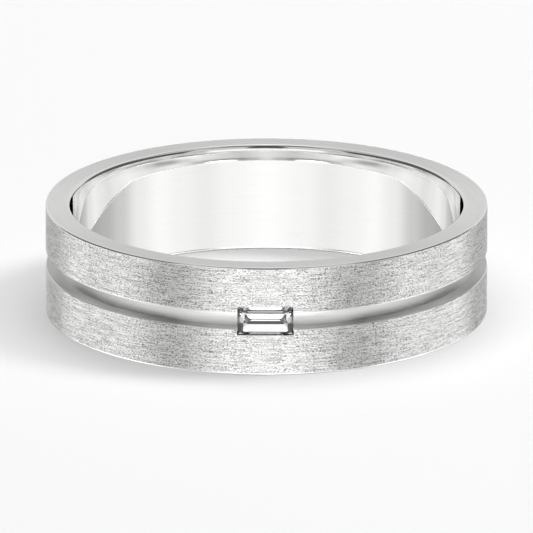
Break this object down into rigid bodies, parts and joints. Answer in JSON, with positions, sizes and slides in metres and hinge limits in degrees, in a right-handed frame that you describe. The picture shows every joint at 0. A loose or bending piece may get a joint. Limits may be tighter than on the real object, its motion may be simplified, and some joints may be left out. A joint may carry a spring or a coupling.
{
  "type": "finger ring with a channel band and a baguette stone",
  "caption": "Flat, wide finger band with a satin outer wall, a polished channel round its middle and a rectangular step-cut stone set flush across the channel.",
  "frame": {"origin": "middle of the finger hole, on the plane that the band rests on when it lies on its side", "axes": "+Z along the finger hole, up from the surface that the band lies on; the stone faces -Y; +X to the right as the stone is seen"},
  "size_m": [0.024, 0.024, 0.006],
  "materials": {
    "band_metal": "white gold: satin brushed outer wall, polished channel, edges, sides and finger hole",
    "moissanite": "clear, polished, step cut"
  },
  "bodies": {
    "root": {"band": "band_metal", "baguette_stone": "moissanite"}
  },
  "joints": []
}
